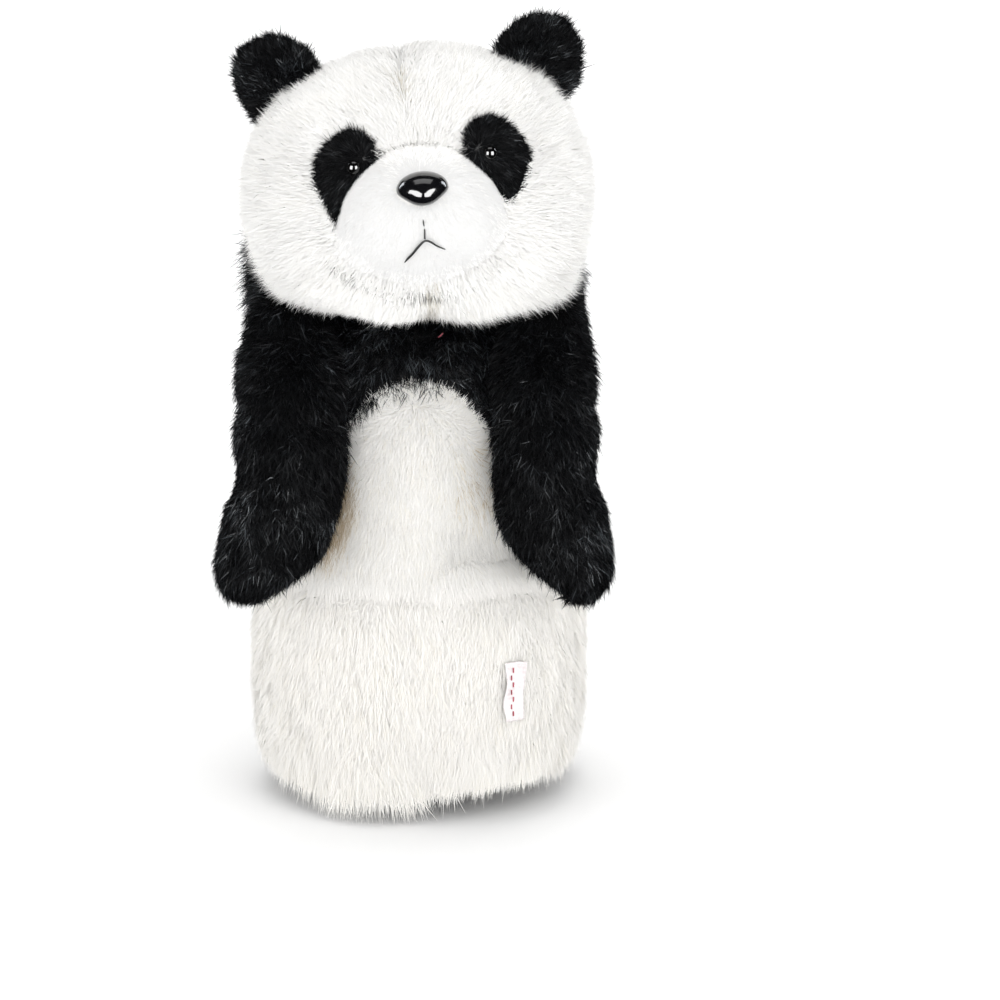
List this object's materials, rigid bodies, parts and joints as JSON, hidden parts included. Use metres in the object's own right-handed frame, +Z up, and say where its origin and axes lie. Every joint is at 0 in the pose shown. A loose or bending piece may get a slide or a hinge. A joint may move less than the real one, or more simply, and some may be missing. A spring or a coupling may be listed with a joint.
{
  "type": "driver head cover",
  "caption": "Plush panda head cover for a golf driver: lined pouch under a sewn head, swinging arms, elastic waist and an open furry skirt.",
  "frame": {"origin": "centre of the skirt's open mouth, in the plane of the hem that would rest on a table", "axes": "+Z up along the club's shaft towards the panda's head, the face towards -Y, the panda's own left arm towards +X"},
  "size_m": [0.176, 0.1912, 0.3483],
  "materials": {
    "white_plush": "long pile, matt",
    "black_plush": "long pile, soft sheen",
    "filling": "fibre filling",
    "lining_cloth": "smooth cloth",
    "elastic": "woven elastic",
    "label_cloth": "woven satin",
    "black_thread": "twisted thread",
    "red_thread": "twisted thread",
    "black_plastic": "polished",
    "washer_plastic": "moulded"
  },
  "bodies": {
    "body": {"skirt_front": "white_plush", "skirt_back": "white_plush", "skirt_lining": "lining_cloth", "hem_band": "white_plush", "waist_elastic": "elastic", "belly_bib": "white_plush", "yoke_front_left": "black_plush", "yoke_front_right": "black_plush", "back_lower": "white_plush", "yoke_back": "black_plush", "yoke_crown": "black_plush", "pouch_lining_front": "lining_cloth", "pouch_lining_back": "lining_cloth", "pouch_lining_crown": "lining_cloth", "crown_filling": "filling", "side_label": "label_cloth", "label_stitch": "red_thread", "seam_thread": "red_thread"},
    "neck": {"neck_filling": "filling"},
    "head": {"cheek_left": "white_plush", "cheek_right": "white_plush", "forehead": "white_plush", "nape": "white_plush", "chin": "white_plush", "head_filling": "filling", "muzzle": "white_plush", "muzzle_filling": "filling", "nose": "black_plastic", "nose_washer": "washer_plastic", "eye_left": "black_plastic", "eye_right": "black_plastic", "eye_washer_left": "washer_plastic", "eye_washer_right": "washer_plastic", "eye_patch_left": "black_plush", "eye_patch_right": "black_plush", "ear_left_front": "black_plush", "ear_left_back": "black_plush", "ear_right_front": "black_plush", "ear_right_back": "black_plush", "mouth_stitch_upper": "black_thread", "mouth_stitch_lower": "black_thread"},
    "arm_left": {"arm_left_front": "black_plush", "arm_left_back": "black_plush", "arm_left_filling": "filling"},
    "arm_right": {"arm_right_front": "black_plush", "arm_right_back": "black_plush", "arm_right_filling": "filling"}
  },
  "joints": [
    {"name": "neck_turn", "type": "hinge", "parent": "body", "child": "neck", "pos_m": [0, -0.01561, 0.22222], "axis": [0, -0.4472, 0.8944], "range_deg": [-18, 18], "stiffness_Nm_per_rad": 0.6},
    {"name": "neck_nod", "type": "hinge", "parent": "neck", "child": "head", "pos_m": [0, -0.01561, 0.22222], "axis": [1, 0, 0], "range_deg": [-10, 8], "stiffness_Nm_per_rad": 1.5},
    {"name": "shoulder_swing_left", "type": "hinge", "parent": "body", "child": "arm_left", "pos_m": [-0.0575, -0.036, 0.2115], "axis": [-1, 0, 0], "range_deg": [0, 50]},
    {"name": "shoulder_swing_right", "type": "hinge", "parent": "body", "child": "arm_right", "pos_m": [0.0575, -0.036, 0.2115], "axis": [-1, 0, 0], "range_deg": [0, 50]}
  ]
}
